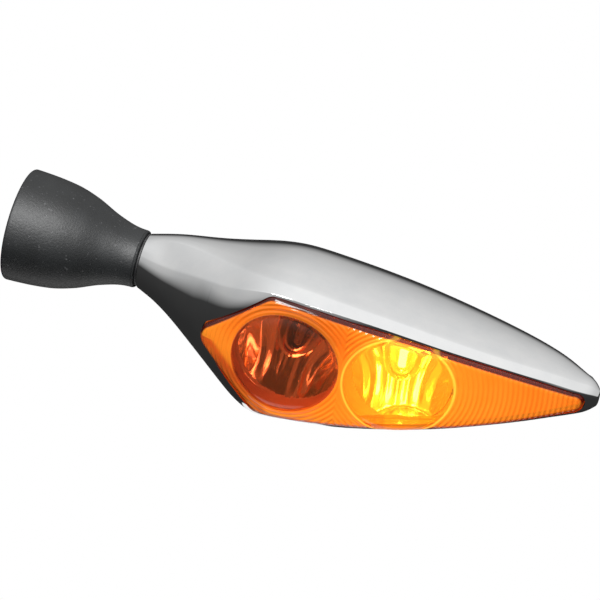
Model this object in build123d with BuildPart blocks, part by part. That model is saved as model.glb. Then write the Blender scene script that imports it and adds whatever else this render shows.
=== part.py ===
"""Flexible-stem motorcycle turn signal with a chromed kite-shaped head and two lamps.

Frame: the origin is the centre of the rubber foot's mounting face. +X runs along the stem to
the tip of the head, -Y is the lit front and +Z is up. The head is mirrored about Z = 0.
"""

import os
from math import asin, cos, radians, sin, sqrt
from typing import NamedTuple

from build123d import *

os.makedirs("parts", exist_ok=True)

# ---- driving dimensions, in mm ----
FOOT_RADIUS = 10.6  # rubber foot at the mounting face
FOOT_END_X = 24.2  # narrow end of the rubber foot
FOOT_END_RADIUS = 5.45
FOOT_EDGE = 0.5  # rounding at the mounting face
FOOT_PROFILE = ((8.6, 9.95), (13.0, 8.75), (17.8, 6.75), (22.0, 5.6))  # X and radius of the waist
INSERT_RADIUS = 5.5
INSERT_LENGTH = 9.0  # threaded insert moulded in the foot
THREAD_RADIUS = 3.4  # tapping drill of M8
THREAD_CHAMFER = 0.5
HOLLOW_RADIUS = 3.0  # passage for the leads inside the foot
FLEX_X = 13.0  # middle of the rubber that bends
SLEEVE_RADIUS = 2.2  # sleeve around the leads, where the rubber bends
SLEEVE_BORE = 1.7
SLEEVE_LENGTH = 3.4
SPIGOT_START_X = 17.0
SPIGOT_RADIUS = 3.7
SPIGOT_BORE = 2.6
SEAL_WIDTH = 0.6
SEAL_INSET = 0.2
NECK_X = FOOT_END_X + SEAL_WIDTH  # where the chromed neck starts
NECK_RADIUS = 5.2
WALL = 1.7  # die-cast wall
FRONT_RADIUS = 125.0  # plan curve of the opening, from its crest to the tip
NECK_SIDE_RADIUS = 30.0  # and from its crest to the neck
FRONT_CREST_X = 51.5  # where that curve is furthest forward
FRONT_CREST_Y = -18.75
LENS_PROUD = 1.5  # lens face in front of the rim
LENS_WALL = 2.0
SKIRT_DEPTH = 4.4
GASKET_DEPTH = 1.0
POCKET_DEPTH = SKIRT_DEPTH + GASKET_DEPTH
LEDGE = 1.4  # seat for the gasket around the opening
EYE_XS = (58.2, 79.0)  # lamp centres: position lamp, then signal lamp
BOWL_RADIUS = 9.2
BOWL_START = 3.5  # depths below the front curve, along a lamp's axis
BOWL_END = 12.0
BOWL_WALL = 0.9
BULB_RADIUS = 3.1
BULB_TIP = 4.8
BULB_SHOULDER = 13.4
WEDGE_END = 17.0
HOLDER_START = 13.6
HOLDER_END = 17.8
HOLDER_RADIUS = 4.3
SCREW_X, SCREW_Z = 68.6, -6.9  # lens screw, entered from the back
LEAD_RADIUS = 0.65
LEAD_CIRCLE = 1.35  # the three leads sit on this radius in the neck
LEAD_START_X = 17.4
GROUND_X, GROUND_Y, GROUND_Z = 61.0, 2.9, -3.8  # seat of the ground lug
GROUND_BOSS_RADIUS = 2.6
GROUND_SCREW_RADIUS = 0.9
GROUND_SCREW_LENGTH = 1.6
LUG_THICK = 0.5
TOP_PULL = 0.55  # handles of the curve from the ridge round the back, as shares of its depth
TOP_RISE = 0.04
BACK_PULL = 0.92  # and as a share of the ridge's height
CLEAR = 0.15
ROOT = 0.5  # overlap where one form grows out of another
THROUGH = 60.0  # longer than the head is deep
KITE_LEFT = (40.1, 0)  # X and Z of the lens outline
KITE_CORNER = (53.9, 12.6)
KITE_MIDDLE = (82.0, 8.9)
KITE_NOSE = (109.0, 2.0)
CORNER_RADIUS = 3.0  # rounded left corners of the kite
LENS_REACH = 6.0  # how far the pocket is cut in front of the front curve
RIDGE_Y_SHARE, RIDGE_Z_SHARE, RIM_Z_SHARE = 0.2, 1.2, 0.9  # of the wall, between the head and its cavity
LENS_SKIRT = 1.2
NECK_HOLE = 3.6  # opening at the back of a reflector bowl
GLASS_WALL = 0.45
GLASS_END = BULB_SHOULDER - 1  # bottom of the space inside a bulb
WEDGE_WIDTH = 5.0
WEDGE_THICKNESS = 1.9
FILAMENT_HALF = 1.4
FILAMENT_DEPTH = 8.4
CONTACT_TAIL = 1.4
POST_RADIUS = 1.9  # lens post that takes the screw
POST_END_Y = 3.0
POST_HOLE_DEPTH = 7.0
SEAL_THICK = 0.4
POST_CLEARANCE_DEPTH = 12.0
SCREW_HEAD_HEIGHT = 1.5
SCREW_PLANE_Y = 10.0  # clear of the back of the head
SCREW_SEAT_Y = 5.0  # under the screw's head
SCREW_HEAD_RADIUS = 2.1
SCREW_RADIUS = 1.1
SCREW_FIT = 0.03
SCREW_LENGTH = 8.0
SCREW_EDGE = 0.5
CROSS_LENGTH, CROSS_WIDTH, CROSS_DEPTH = 2.4, 0.55, 0.9
BOSS_RADIUS = 3.2  # around the lens screw
CAVITY_START_X = NECK_X + 8
CAVITY_START_RADIUS = 3.0
THIN_FROM_X = 109.0  # the wall is thinner at the tip
THIN_SHARE = 0.6
PASSAGE_LENGTH = 34.0  # bore for the leads through the neck
BAND_START, BAND_MIDDLE, BAND_END = 38.0, 76.0, 116.0  # reach of the front curve along X
BOWL_INSIDE = (6.9, 8.4)  # radius and depth half way down a bowl
BOWL_OUTSIDE = (7.8, 8.9)
PLATE_THICK = 1.0  # flat field of the reflector
LEG_RADIUS = 0.2
COIL_RADIUS = 0.35
CONTACT_PLACE = (1.6, 2.2)  # sideways and up from a lamp's axis
CONTACT_WIDTH, CONTACT_THICK = 1.2, 0.4
SLOT_GAP = 0.1
LUG_RADIUS = 2.4
LUG_TAIL_WIDTH, LUG_TAIL_LENGTH, LUG_TAIL_PLACE = 1.8, 3.0, 3.4
GROUND_HEAD_RADIUS = 1.8
GROUND_HEAD_HEIGHT = 1.1
GROUND_HEAD_EDGE = 0.4
DRIVE_LENGTH, DRIVE_WIDTH, DRIVE_DEPTH = 3.8, 0.5, 0.6
GROMMET_START_X = SPIGOT_START_X + 0.3
GROMMET_LENGTH = 5.0
GROMMET_FIT = 0.05
LEAD_ANGLES = {"signal_lead": 0, "position_lead": 120, "ground_lead": 240}
NECK_RUNS = {"signal_lead": 47, "position_lead": 46, "ground_lead": 46}  # straight up to these X
SIGNAL_ROUTE = [(54, 3.2, 0), (67, 3.3, 0.6), (72.2, 3.3, 1.8)]
POSITION_ROUTE = [(50.5, 0.9, 1.6), (54.2, 0.95, 1.6)]
GROUND_ROUTE = [(52.5, 1.2, -2.8), (57.9, 1.7, -3.8)]
JUMPER_ROUTE = [(72.2, 3.3, -1.7), (67.5, 3.3, -1.7), (63.9, 2.0, -2.6)]
WIDE_BEND = 5.0
TIGHT_BEND = 3.0


class Station(NamedTuple):
    """Section of the head at one X: the ridge, the front rim and the back."""

    x: float
    ridge_y: float
    ridge_z: float
    rim_y: float
    rim_z: float
    front_y: float
    back_y: float


HEAD = [
    Station(31.0, -2.9, 7.8, -7.0, 4.3, -10.1, 5.0),
    Station(38.0, -6.3, 9.5, -11.0, 6.8, -15.2, 6.0),
    Station(45.0, -10.6, 11.2, -15.3, 9.4, -18.4, 7.7),
    Station(53.4, -15.0, 13.6, -19.2, 12.85, -19.8, 8.9),
    Station(66.0, -15.1, 12.9, -18.2, 12.05, -18.7, 9.4),
    Station(76.0, -13.9, 11.5, -16.5, 10.6, -17.0, 9.3),
    Station(86.8, -11.7, 9.3, -14.0, 8.4, -14.4, 8.7),
    Station(94.3, -9.5, 7.5, -11.5, 6.62, -11.9, 7.9),
    Station(101.5, -6.8, 5.6, -8.8, 4.75, -9.1, 6.5),
    Station(106.2, -4.7, 4.2, -6.8, 3.45, -7.1, 4.7),
    Station(110.0, -2.9, 2.9, -5.2, 2.35, -5.4, 2.5),
    Station(113.4, -1.2, 1.1, -2.2, 0.8, -2.4, 0.6),
]


def front_y(x, depth=0.0):
    """Y of the plan curve at X, or of the curve that runs depth mm behind it."""
    radius = (FRONT_RADIUS if x > FRONT_CREST_X else NECK_SIDE_RADIUS) - depth
    return FRONT_CREST_Y + depth + radius - sqrt(radius**2 - (x - FRONT_CREST_X) ** 2)


def shrink(station, wall):
    """The same section, moved in by a wall on every side."""
    return Station(
        station.x,
        station.ridge_y + wall * RIDGE_Y_SHARE,
        station.ridge_z - wall * RIDGE_Z_SHARE,
        station.rim_y + wall,
        station.rim_z - wall * RIM_Z_SHARE,
        station.front_y + wall,
        station.back_y - wall,
    )


def head_section(station):
    """One section of the head: curved front, two bevels and a curved back."""
    rim, ridge = (station.rim_y, station.rim_z), (station.ridge_y, station.ridge_z)
    low_rim, low_ridge = (rim[0], -rim[1]), (ridge[0], -ridge[1])
    back, depth = (station.back_y, 0), station.back_y - station.ridge_y
    top = (ridge[0] + TOP_PULL * depth, ridge[1] + TOP_RISE * depth)
    turn = (station.back_y, BACK_PULL * station.ridge_z)
    with BuildSketch(Plane.YZ.offset(station.x)) as section:
        with BuildLine():
            ThreePointArc(low_rim, (station.front_y, 0), rim)
            Line(rim, ridge)
            Bezier(ridge, top, turn, back)
            Bezier(back, (turn[0], -turn[1]), (top[0], -top[1]), low_ridge)
            Line(low_ridge, low_rim)
        make_face()
    return section.sketch


def round_section(x, radius, rim_angle=140, ridge_angle=97):
    """A round section whose corners sit where the head's rim and ridge start."""

    def on_circle(angle):
        return (radius * cos(radians(angle)), radius * sin(radians(angle)))

    bevel_angle = (rim_angle + ridge_angle) / 2
    with BuildSketch(Plane.YZ.offset(x)) as section:
        with BuildLine():
            ThreePointArc(on_circle(-rim_angle), (-radius, 0), on_circle(rim_angle))
            ThreePointArc(on_circle(rim_angle), on_circle(bevel_angle), on_circle(ridge_angle))
            ThreePointArc(on_circle(ridge_angle), on_circle(ridge_angle / 2), (radius, 0))
            ThreePointArc((radius, 0), on_circle(-ridge_angle / 2), on_circle(-ridge_angle))
            ThreePointArc(on_circle(-ridge_angle), on_circle(-bevel_angle), on_circle(-rim_angle))
        make_face()
    return section.sketch


def kite_outline(inset=0.0):
    """The lens outline on the XZ plane: a kite with a long curved tail."""
    left, corner, middle, nose = KITE_LEFT, KITE_CORNER, KITE_MIDDLE, KITE_NOSE
    with BuildSketch(Plane.XZ) as outline:
        with BuildLine():
            Line(left, corner)
            ThreePointArc(corner, middle, nose)
            ThreePointArc(nose, (nose[0] + nose[1], 0), (nose[0], -nose[1]))
            ThreePointArc((nose[0], -nose[1]), (middle[0], -middle[1]), (corner[0], -corner[1]))
            Line((corner[0], -corner[1]), left)
        make_face()
        fillet(outline.vertices().filter_by(lambda v: v.X < corner[0] + ROOT), radius=CORNER_RADIUS)
        if inset:
            offset(amount=-inset, kind=Kind.INTERSECTION, mode=Mode.REPLACE)
    return outline.sketch


def plan_band(near, far):
    """In plan, the band between two depths behind the front curve."""
    start, end = BAND_START, BAND_END
    near_start = (start + FRONT_CREST_X) / 2

    def at(x, depth):
        return (x, front_y(x, depth))

    with BuildSketch(Plane.XY) as band:
        with BuildLine():
            ThreePointArc(at(start, near), at(near_start, near), at(FRONT_CREST_X, near))
            ThreePointArc(at(FRONT_CREST_X, near), at(BAND_MIDDLE, near), at(end, near))
            if far > NECK_SIDE_RADIUS / 2:
                Polyline(at(end, near), (end, far), (start, far), at(start, near))
            else:
                Line(at(end, near), at(end, far))
                ThreePointArc(at(end, far), at(BAND_MIDDLE, far), at(FRONT_CREST_X, far))
                ThreePointArc(at(FRONT_CREST_X, far), at(near_start, far), at(start, far))
                Line(at(start, far), at(start, near))
        make_face()
    return band.sketch


def kite_prism(inset=0.0, mode=Mode.ADD):
    """Extrudes the kite along Y through the whole head."""
    extrude(kite_outline(inset), amount=THROUGH, both=True, mode=mode)


def band_prism(near, far, mode=Mode.INTERSECT):
    """Extrudes the plan band up and down through the whole head."""
    extrude(plan_band(near, far), amount=THROUGH, both=True, mode=mode)


def eye_frame(x):
    """Centre of a lamp on the front curve and the direction that it faces."""
    turn = asin((x - FRONT_CREST_X) / FRONT_RADIUS)
    return Vector(x, front_y(x), 0), Vector(sin(turn), -cos(turn), 0)


def eye_profile(x):
    """Plane holding a lamp's axis: local X is the radius and local Y points to the front."""
    centre, facing = eye_frame(x)
    return Plane(origin=centre, x_dir=(0, 0, 1), z_dir=Vector(0, 0, 1).cross(facing))


def eye_cross(x, depth):
    """Plane square to a lamp's axis at a depth, facing the front."""
    centre, facing = eye_frame(x)
    return Plane(origin=centre - facing * depth, x_dir=(0, 0, 1), z_dir=facing)


def eye_axis(x):
    """Axis of a lamp."""
    centre, facing = eye_frame(x)
    return Axis(centre, facing)


def bulb_outline(radius, tip, end):
    """Half of a round-ended bulb envelope, on a lamp's profile plane: radius against -depth."""
    with BuildSketch() as outline:
        with BuildLine():
            Line((0, -tip), (0, -end))
            Line((0, -end), (radius, -end))
            Line((radius, -end), (radius, -tip - radius))
            RadiusArc((radius, -tip - radius), (0, -tip), -radius)
        make_face()
    return outline.sketch


def lead(points, bends, name):
    """A round lead along straight runs joined by arcs."""
    with BuildPart() as wire:
        with BuildLine() as route:
            FilletPolyline(points, radius=bends)
        start = route.line @ 0
        with BuildSketch(Plane(origin=start, z_dir=route.line % 0)):
            Circle(LEAD_RADIUS)
        sweep()
    finish(wire.part, name)


def finish(part, name):
    """Labels a finished piece and writes its file."""
    part.label = name
    export_step(part, f"parts/{name}.step")


# ---- rubber foot and what is moulded in it ----
with BuildPart() as rubber_foot:
    with BuildSketch(Plane.XY):
        with BuildLine():
            Line((0, INSERT_RADIUS), (0, FOOT_RADIUS - FOOT_EDGE))
            RadiusArc((0, FOOT_RADIUS - FOOT_EDGE), (FOOT_EDGE, FOOT_RADIUS), FOOT_EDGE)
            Spline((FOOT_EDGE, FOOT_RADIUS), *FOOT_PROFILE, (FOOT_END_X, FOOT_END_RADIUS))
            Line((FOOT_END_X, FOOT_END_RADIUS), (FOOT_END_X, SPIGOT_RADIUS))
            Line((FOOT_END_X, SPIGOT_RADIUS), (SPIGOT_START_X, SPIGOT_RADIUS))
            Line((SPIGOT_START_X, SPIGOT_RADIUS), (SPIGOT_START_X, HOLLOW_RADIUS))
            Line((SPIGOT_START_X, HOLLOW_RADIUS), (INSERT_LENGTH, HOLLOW_RADIUS))
            Line((INSERT_LENGTH, HOLLOW_RADIUS), (INSERT_LENGTH, INSERT_RADIUS))
            Line((INSERT_LENGTH, INSERT_RADIUS), (0, INSERT_RADIUS))
        make_face()
    revolve(axis=Axis.X)
finish(rubber_foot.part, "rubber_foot")

with BuildPart() as threaded_insert:
    with BuildSketch(Plane.YZ):
        Circle(INSERT_RADIUS)
        Circle(THREAD_RADIUS, mode=Mode.SUBTRACT)
    extrude(amount=INSERT_LENGTH)
    mouth = threaded_insert.edges().filter_by(GeomType.CIRCLE).group_by(Axis.X)[0]
    chamfer(mouth.sort_by(SortBy.RADIUS)[0], THREAD_CHAMFER)
finish(threaded_insert.part, "threaded_insert")

with BuildPart() as wire_sleeve:
    with BuildSketch(Plane.YZ.offset(FLEX_X - SLEEVE_LENGTH / 2)):
        Circle(SLEEVE_RADIUS)
        Circle(SLEEVE_BORE, mode=Mode.SUBTRACT)
    extrude(amount=SLEEVE_LENGTH)
finish(wire_sleeve.part, "wire_sleeve")

with BuildPart() as neck_seal:
    with BuildSketch(Plane.YZ.offset(FOOT_END_X)):
        Circle(NECK_RADIUS - SEAL_INSET)
        Circle(SPIGOT_RADIUS, mode=Mode.SUBTRACT)
    extrude(amount=SEAL_WIDTH)
finish(neck_seal.part, "neck_seal")

# ---- die-cast housing ----
ground_plane = Plane(origin=(GROUND_X, GROUND_Y, GROUND_Z), x_dir=(0, 0, 1), z_dir=(0, -1, 0))


def screw_cross(y, facing=-1):
    """Plane square to the lens screw at Y, facing the front unless told otherwise."""
    return Plane(origin=(SCREW_X, y, SCREW_Z), x_dir=(0, 0, 1), z_dir=(0, facing, 0))


screw_plane = screw_cross(SCREW_PLANE_Y)

with BuildPart() as cavity:
    thicknesses = [WALL if station.x < THIN_FROM_X else WALL * THIN_SHARE for station in HEAD[1:-1]]
    inner = [shrink(station, wall) for station, wall in zip(HEAD[1:-1], thicknesses)]
    start_section = round_section(CAVITY_START_X, CAVITY_START_RADIUS)
    loft([start_section] + [head_section(station) for station in inner])
    kite_prism(LEDGE, mode=Mode.INTERSECT)
    band_prism(POCKET_DEPTH - ROOT, THROUGH)

with BuildPart() as pocket:
    kite_prism(-CLEAR)
    band_prism(-LENS_REACH, POCKET_DEPTH)

with BuildPart() as head_form:
    loft([round_section(NECK_X, NECK_RADIUS)] + [head_section(station) for station in HEAD])

with BuildPart() as screw_boss:
    with BuildSketch(screw_plane):
        Circle(BOSS_RADIUS)
    extrude(amount=SCREW_PLANE_Y - POST_END_Y - CLEAR)
    add(head_form.part, mode=Mode.INTERSECT)

with BuildPart() as ground_boss:
    with BuildSketch(ground_plane):
        Circle(GROUND_BOSS_RADIUS)
    extrude(amount=-SCREW_PLANE_Y)
    add(head_form.part, mode=Mode.INTERSECT)

with BuildPart() as housing:
    add(head_form.part)
    with BuildSketch(Plane.YZ.offset(SPIGOT_START_X)):
        Circle(SPIGOT_RADIUS)
    extrude(amount=NECK_X - SPIGOT_START_X + ROOT)
    add(cavity.part, mode=Mode.SUBTRACT)
    add(pocket.part, mode=Mode.SUBTRACT)
    with BuildSketch(Plane.YZ.offset(SPIGOT_START_X)):
        Circle(SPIGOT_BORE)
    extrude(amount=PASSAGE_LENGTH, mode=Mode.SUBTRACT)
    with BuildSketch(screw_cross(POST_END_Y + CLEAR)):
        Circle(POST_RADIUS + CLEAR)
    extrude(amount=POST_CLEARANCE_DEPTH, mode=Mode.SUBTRACT)
    add(screw_boss.part)
    add(ground_boss.part)
    with BuildSketch(ground_plane):
        Circle(GROUND_SCREW_RADIUS + CLEAR / 3)
    extrude(amount=-GROUND_SCREW_LENGTH - CLEAR, mode=Mode.SUBTRACT)
    with BuildSketch(screw_plane):
        Circle(SCREW_HEAD_RADIUS + CLEAR)
    extrude(amount=SCREW_PLANE_Y - SCREW_SEAT_Y, mode=Mode.SUBTRACT)
    with BuildSketch(screw_plane):
        Circle(SCREW_RADIUS + CLEAR)
    extrude(amount=SCREW_PLANE_Y, mode=Mode.SUBTRACT)
finish(housing.part, "housing")

# ---- lens, gasket and reflector ----
with BuildPart() as lens_inside:
    kite_prism(LENS_SKIRT)
    band_prism(LENS_WALL - LENS_PROUD, POCKET_DEPTH + LENS_WALL)

with BuildPart() as lens:
    kite_prism()
    band_prism(-LENS_PROUD, SKIRT_DEPTH)
    add(lens_inside.part, mode=Mode.SUBTRACT)
    post_front = front_y(SCREW_X, LENS_WALL - LENS_PROUD) - ROOT
    with BuildSketch(screw_cross(post_front, facing=1)):
        Circle(POST_RADIUS)
    extrude(amount=POST_END_Y - post_front)
    with BuildSketch(screw_cross(POST_END_Y)):
        Circle(SCREW_RADIUS)
    extrude(amount=POST_HOLE_DEPTH, mode=Mode.SUBTRACT)
finish(lens.part, "lens")

with BuildPart() as lens_gasket:
    kite_prism(CLEAR)
    kite_prism(LENS_SKIRT, mode=Mode.SUBTRACT)
    band_prism(SKIRT_DEPTH, POCKET_DEPTH)
finish(lens_gasket.part, "lens_gasket")

with BuildPart() as bowls:
    for eye_x in EYE_XS:
        rim_in, rim_out = (BOWL_RADIUS - BOWL_WALL, -BOWL_START), (BOWL_RADIUS, -BOWL_START)
        neck_in, neck_out = (NECK_HOLE, -BOWL_END), (NECK_HOLE + BOWL_WALL, -BOWL_END - BOWL_WALL / 2)
        end_in, end_out = (NECK_HOLE, CLEAR - HOLDER_START), (NECK_HOLE + BOWL_WALL, CLEAR - HOLDER_START)
        with BuildSketch(eye_profile(eye_x)) as bowl:
            with BuildLine():
                Line(rim_out, rim_in)
                ThreePointArc(rim_in, (BOWL_INSIDE[0], -BOWL_INSIDE[1]), neck_in)
                Line(neck_in, end_in)
                Line(end_in, end_out)
                Line(end_out, neck_out)
                ThreePointArc(neck_out, (BOWL_OUTSIDE[0], -BOWL_OUTSIDE[1]), rim_out)
            make_face()
        revolve(axis=eye_axis(eye_x))
    kite_prism(LEDGE + CLEAR, mode=Mode.INTERSECT)

with BuildPart() as reflector:
    kite_prism(LEDGE + CLEAR)
    band_prism(BOWL_START, BOWL_START + PLATE_THICK)
    for eye_x in EYE_XS:
        with BuildSketch(eye_cross(eye_x, 2 * BOWL_START)):
            Circle(BOWL_RADIUS - BOWL_WALL / 2)
        extrude(amount=2 * BOWL_START, mode=Mode.SUBTRACT)
    add(bowls.part)
    with BuildSketch(screw_plane):
        Circle(POST_RADIUS + CLEAR)
    extrude(amount=THROUGH, mode=Mode.SUBTRACT)
finish(reflector.part, "reflector")

# ---- lamps: wedge bulb, its filament, its holder and the holder's contacts ----
for lamp, eye_x in zip(("position", "signal"), EYE_XS):
    with BuildPart() as bulb_glass:
        with BuildSketch(eye_profile(eye_x)):
            add(bulb_outline(BULB_RADIUS, BULB_TIP, BULB_SHOULDER))
        revolve(axis=eye_axis(eye_x))
        with BuildSketch(eye_cross(eye_x, BULB_SHOULDER)):
            Rectangle(WEDGE_WIDTH, WEDGE_THICKNESS)
        extrude(amount=BULB_SHOULDER - WEDGE_END)
        with BuildSketch(eye_profile(eye_x)):
            add(bulb_outline(BULB_RADIUS - GLASS_WALL, BULB_TIP + GLASS_WALL, GLASS_END))
        revolve(axis=eye_axis(eye_x), mode=Mode.SUBTRACT)
    finish(bulb_glass.part, f"{lamp}_bulb_glass")

    with BuildPart() as filament:
        for side in (-1, 1):
            with BuildSketch(eye_cross(eye_x, GLASS_END)):
                with Locations((side * FILAMENT_HALF, 0)):
                    Circle(LEG_RADIUS)
            extrude(amount=GLASS_END - FILAMENT_DEPTH)
        centre, facing = eye_frame(eye_x)
        coil_end = centre - facing * FILAMENT_DEPTH - Vector(0, 0, FILAMENT_HALF)
        with BuildSketch(Plane(origin=coil_end, z_dir=(0, 0, 1))):
            Circle(COIL_RADIUS)
        extrude(amount=2 * FILAMENT_HALF)
    finish(filament.part, f"{lamp}_bulb_filament")

    with BuildPart() as holder:
        with BuildSketch(eye_cross(eye_x, HOLDER_START)):
            Circle(HOLDER_RADIUS)
            Rectangle(WEDGE_WIDTH + SLOT_GAP, WEDGE_THICKNESS + SLOT_GAP, mode=Mode.SUBTRACT)
        extrude(amount=HOLDER_START - HOLDER_END)
        with BuildSketch(eye_cross(eye_x, HOLDER_START)):
            for side in (-1, 1):
                with Locations((side * CONTACT_PLACE[0], CONTACT_PLACE[1])):
                    Rectangle(CONTACT_WIDTH + SLOT_GAP, CONTACT_THICK + SLOT_GAP)
        extrude(amount=HOLDER_START - HOLDER_END, mode=Mode.SUBTRACT)
    finish(holder.part, f"{lamp}_holder")

    with BuildPart() as contacts:
        with BuildSketch(eye_cross(eye_x, HOLDER_START + CONTACT_THICK)):
            for side in (-1, 1):
                with Locations((side * CONTACT_PLACE[0], CONTACT_PLACE[1])):
                    Rectangle(CONTACT_WIDTH, CONTACT_THICK)
        extrude(amount=HOLDER_START + CONTACT_THICK - HOLDER_END - CONTACT_TAIL)
    finish(contacts.part, f"{lamp}_contacts")

# ---- lens screw and its seal ----
under_head = SCREW_SEAT_Y + SEAL_THICK
with BuildPart() as lens_screw:
    with BuildSketch(screw_cross(under_head, facing=1)):
        Circle(SCREW_HEAD_RADIUS)
    extrude(amount=SCREW_HEAD_HEIGHT)
    fillet(lens_screw.edges().group_by(Axis.Y)[-1], radius=SCREW_EDGE)
    with BuildSketch(screw_cross(under_head)):
        Circle(SCREW_RADIUS - SCREW_FIT)
    extrude(amount=SCREW_LENGTH)
    with BuildSketch(screw_cross(under_head + SCREW_HEAD_HEIGHT)):
        Rectangle(CROSS_LENGTH, CROSS_WIDTH)
        Rectangle(CROSS_WIDTH, CROSS_LENGTH)
    extrude(amount=CROSS_DEPTH, mode=Mode.SUBTRACT)
finish(lens_screw.part, "lens_screw")

with BuildPart() as screw_seal:
    with BuildSketch(screw_cross(SCREW_SEAT_Y, facing=1)):
        Circle(SCREW_HEAD_RADIUS)
        Circle(SCREW_RADIUS + CLEAR, mode=Mode.SUBTRACT)
    extrude(amount=SEAL_THICK)
finish(screw_seal.part, "screw_seal")

# ---- ground lug and its screw, on a boss inside the housing ----
with BuildPart() as ground_lug:
    with BuildSketch(ground_plane):
        Circle(LUG_RADIUS)
        with Locations((0, LUG_TAIL_PLACE)):
            Rectangle(LUG_TAIL_WIDTH, LUG_TAIL_LENGTH)
        Circle(GROUND_SCREW_RADIUS + CLEAR, mode=Mode.SUBTRACT)
    extrude(amount=LUG_THICK)
finish(ground_lug.part, "ground_lug")

with BuildPart() as ground_screw:
    with BuildSketch(ground_plane.offset(LUG_THICK)):
        Circle(GROUND_HEAD_RADIUS)
    extrude(amount=GROUND_HEAD_HEIGHT)
    fillet(ground_screw.edges().group_by(Axis.Y)[0], radius=GROUND_HEAD_EDGE)
    with BuildSketch(ground_plane.offset(LUG_THICK + GROUND_HEAD_HEIGHT)):
        Rectangle(DRIVE_LENGTH, DRIVE_WIDTH)
    extrude(amount=-DRIVE_DEPTH, mode=Mode.SUBTRACT)
    with BuildSketch(ground_plane.offset(LUG_THICK)):
        Circle(GROUND_SCREW_RADIUS)
    extrude(amount=-LUG_THICK - GROUND_SCREW_LENGTH)
finish(ground_screw.part, "ground_screw")

# ---- grommet in the neck and the leads that it holds ----
with BuildPart() as cable_grommet:
    with BuildSketch(Plane.YZ.offset(GROMMET_START_X)):
        Circle(SPIGOT_BORE - GROMMET_FIT)
        with PolarLocations(LEAD_CIRCLE, len(LEAD_ANGLES)):
            Circle(LEAD_RADIUS + GROMMET_FIT, mode=Mode.SUBTRACT)
    extrude(amount=GROMMET_LENGTH)
finish(cable_grommet.part, "cable_grommet")


def neck_point(x, name):
    """Where a lead runs in the neck at X."""
    angle = radians(LEAD_ANGLES[name])
    return (x, LEAD_CIRCLE * cos(angle), LEAD_CIRCLE * sin(angle))


def neck_run(name):
    """The straight stretch of a lead through the grommet and the neck."""
    return [neck_point(LEAD_START_X, name), neck_point(NECK_RUNS[name], name)]


lead(neck_run("signal_lead") + SIGNAL_ROUTE, WIDE_BEND, "signal_lead")
lead(neck_run("position_lead") + POSITION_ROUTE, [WIDE_BEND, TIGHT_BEND], "position_lead")
lead(neck_run("ground_lead") + GROUND_ROUTE, WIDE_BEND, "ground_lead")
lead(JUMPER_ROUTE, TIGHT_BEND, "ground_jumper")
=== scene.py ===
"""Looks of the flexible-stem turn signal: chromed head, amber lens over two lamps, rubber foot.

Lengths in this script are in millimetres, in the frame of the CAD model, until they are put
into a mesh: +X runs along the stem, -Y is the lit front and +Z is up.
"""

import math
from typing import NamedTuple

import bmesh
import bpy
import numpy as np
from mathutils import Matrix, Vector


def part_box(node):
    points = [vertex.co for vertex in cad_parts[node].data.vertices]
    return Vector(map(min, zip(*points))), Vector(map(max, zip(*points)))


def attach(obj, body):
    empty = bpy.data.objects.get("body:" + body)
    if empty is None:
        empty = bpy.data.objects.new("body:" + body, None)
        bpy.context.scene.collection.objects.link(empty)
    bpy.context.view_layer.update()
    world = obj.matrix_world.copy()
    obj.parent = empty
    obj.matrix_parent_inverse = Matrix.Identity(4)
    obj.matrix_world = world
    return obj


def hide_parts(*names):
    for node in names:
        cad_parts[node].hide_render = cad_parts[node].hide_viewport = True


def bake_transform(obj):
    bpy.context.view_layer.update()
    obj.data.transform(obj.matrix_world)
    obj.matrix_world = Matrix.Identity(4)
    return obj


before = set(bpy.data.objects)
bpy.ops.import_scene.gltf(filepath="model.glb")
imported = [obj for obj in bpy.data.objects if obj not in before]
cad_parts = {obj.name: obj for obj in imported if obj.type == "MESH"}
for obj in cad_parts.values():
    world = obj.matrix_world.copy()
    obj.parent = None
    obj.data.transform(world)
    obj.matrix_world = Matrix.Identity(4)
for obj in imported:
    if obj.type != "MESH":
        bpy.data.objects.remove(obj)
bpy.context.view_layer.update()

MM = 0.001
HALF_TURN = math.pi


def node_box(name):
    """Lowest and highest corner of a CAD node, in millimetres."""
    low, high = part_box(name)
    return np.array(low) / MM, np.array(high) / MM


# ---- places taken from the frame ----
foot_high = node_box("rubber_foot")[1]
seal_low, seal_high = node_box("neck_seal")
insert_high = node_box("threaded_insert")[1]

FOOT_END = foot_high[0]
FOOT_RADIUS = foot_high[1]
NECK_X = seal_high[0]
FLEX_X = 13.0  # both bending axes cross here
NECK_BORE = 3.75  # hole for the wires through the rubber and the seal
FRONT_RADIUS = 125.0  # plan curve of the opening, from its crest to the tip
NECK_SIDE_RADIUS = 30.0  # and from its crest to the neck
FRONT_CREST_X = 51.5
FRONT_CREST_Y = -18.75
LENS_PROUD = 1.5
LENS_WALL = 2.0
SKIRT_DEPTH = 4.4
SKIRT_WALL = 1.2
GASKET_DEPTH = 1.0
POCKET_DEPTH = SKIRT_DEPTH + GASKET_DEPTH
POCKET_GAP = 0.15
EYES = {"position": 58.2, "signal": 79.0}  # lamp centres along X
EYE_RADIUS = 10.0
EYE_SOFTNESS = 0.12  # half the width over which a window's edge fades
DOME_HEIGHT = 1.25
BEAD_HEIGHT, BEAD_WIDTH = 0.16, 0.28
BOWL_RADIUS = 9.2
BOWL_START = 3.5
BOWL_END = 12.0
BOWL_HOLE = 3.6
FLUTE_DEPTH, FLUTE_PITCH = 0.3, 1.9
BULB_RADIUS = 3.1
BULB_TIP = 4.8
BULB_SHOULDER = 13.4
BULB_WALL = 0.35
COIL_DEPTH, COIL_HALF, COIL_RADIUS = 8.4, 1.4, 0.45  # place behind the lens face and size of the coil
COIL_TURNS, COIL_STEPS = 9, 14
COIL_WIRE, SUPPORT_WIRE = 0.16, 0.18
RIB_PITCH = 0.85
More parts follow.
